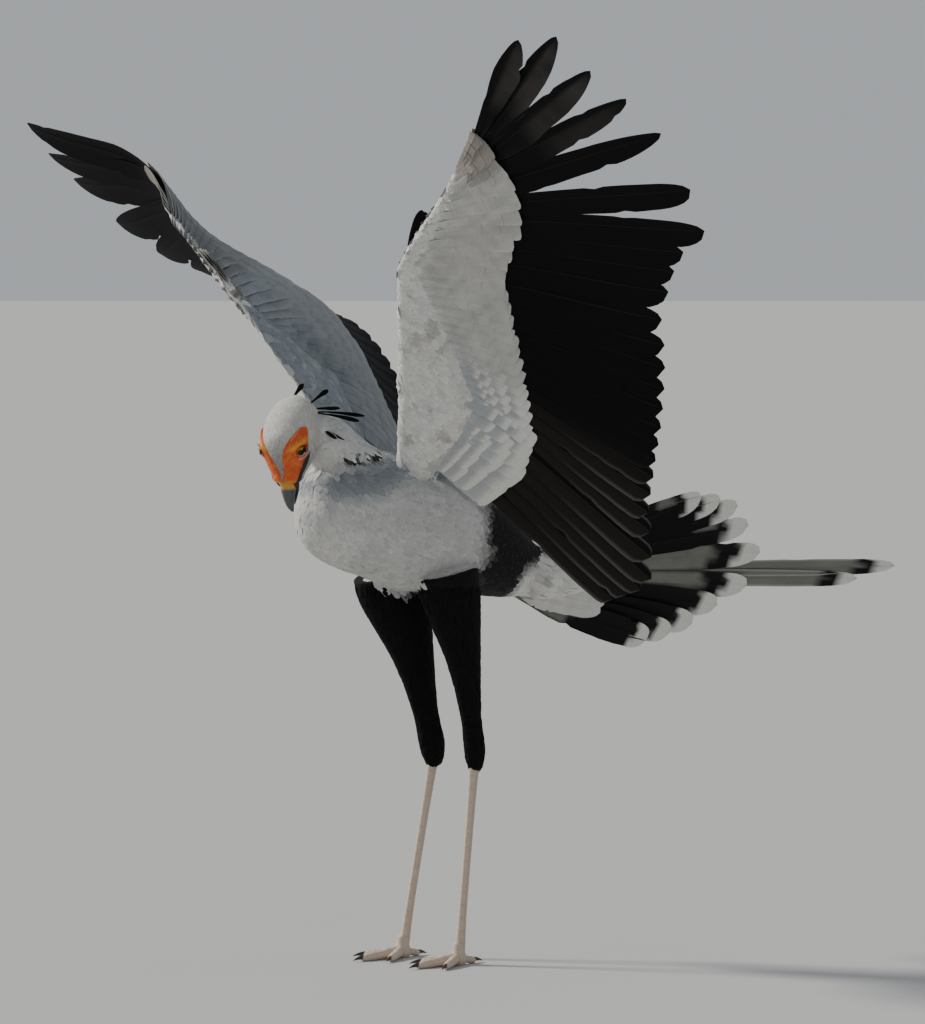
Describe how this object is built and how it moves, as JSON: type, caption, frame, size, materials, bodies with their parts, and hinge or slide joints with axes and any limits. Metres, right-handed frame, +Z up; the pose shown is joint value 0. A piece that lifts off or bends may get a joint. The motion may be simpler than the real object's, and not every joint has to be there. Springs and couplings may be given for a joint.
{
  "type": "secretary bird model",
  "caption": "Life-size still model of a standing secretary bird with raised, spread wings, a bowed crested head, long bare shanks and a long fanned tail.",
  "frame": {"origin": "middle of the model's bounding box in plan, on the floor that its feet stand on", "axes": "+Z up, the bird faces -Y, its left side is +X"},
  "size_m": [1.3026, 1.3328, 1.4116],
  "materials": {
    "grey_plumage": "soft matt blue-grey feathers, paler below",
    "black_feather": "black feathers with a low sheen",
    "scaly_skin": "dry pinkish scaly skin, orange on the face",
    "horn": "smooth dark horn",
    "eye": "polished dark eye"
  },
  "bodies": {
    "root": {"head": "grey_plumage", "bill_upper": "horn", "bill_lower": "horn", "eye_left": "eye", "eye_right": "eye", "neck": "grey_plumage", "torso": "grey_plumage", "tail": "grey_plumage", "wing_left_arm": "grey_plumage", "wing_left_hand": "grey_plumage", "wing_right_arm": "grey_plumage", "wing_right_hand": "grey_plumage", "leg_left_shin": "black_feather", "leg_left_shank": "scaly_skin", "leg_left_foot": "scaly_skin", "leg_right_shin": "black_feather", "leg_right_shank": "scaly_skin", "leg_right_foot": "scaly_skin", "claw_left_inner": "horn", "claw_left_middle": "horn", "claw_left_outer": "horn", "claw_left_hind": "horn", "claw_right_inner": "horn", "claw_right_middle": "horn", "claw_right_outer": "horn", "claw_right_hind": "horn"}
  },
  "joints": []
}
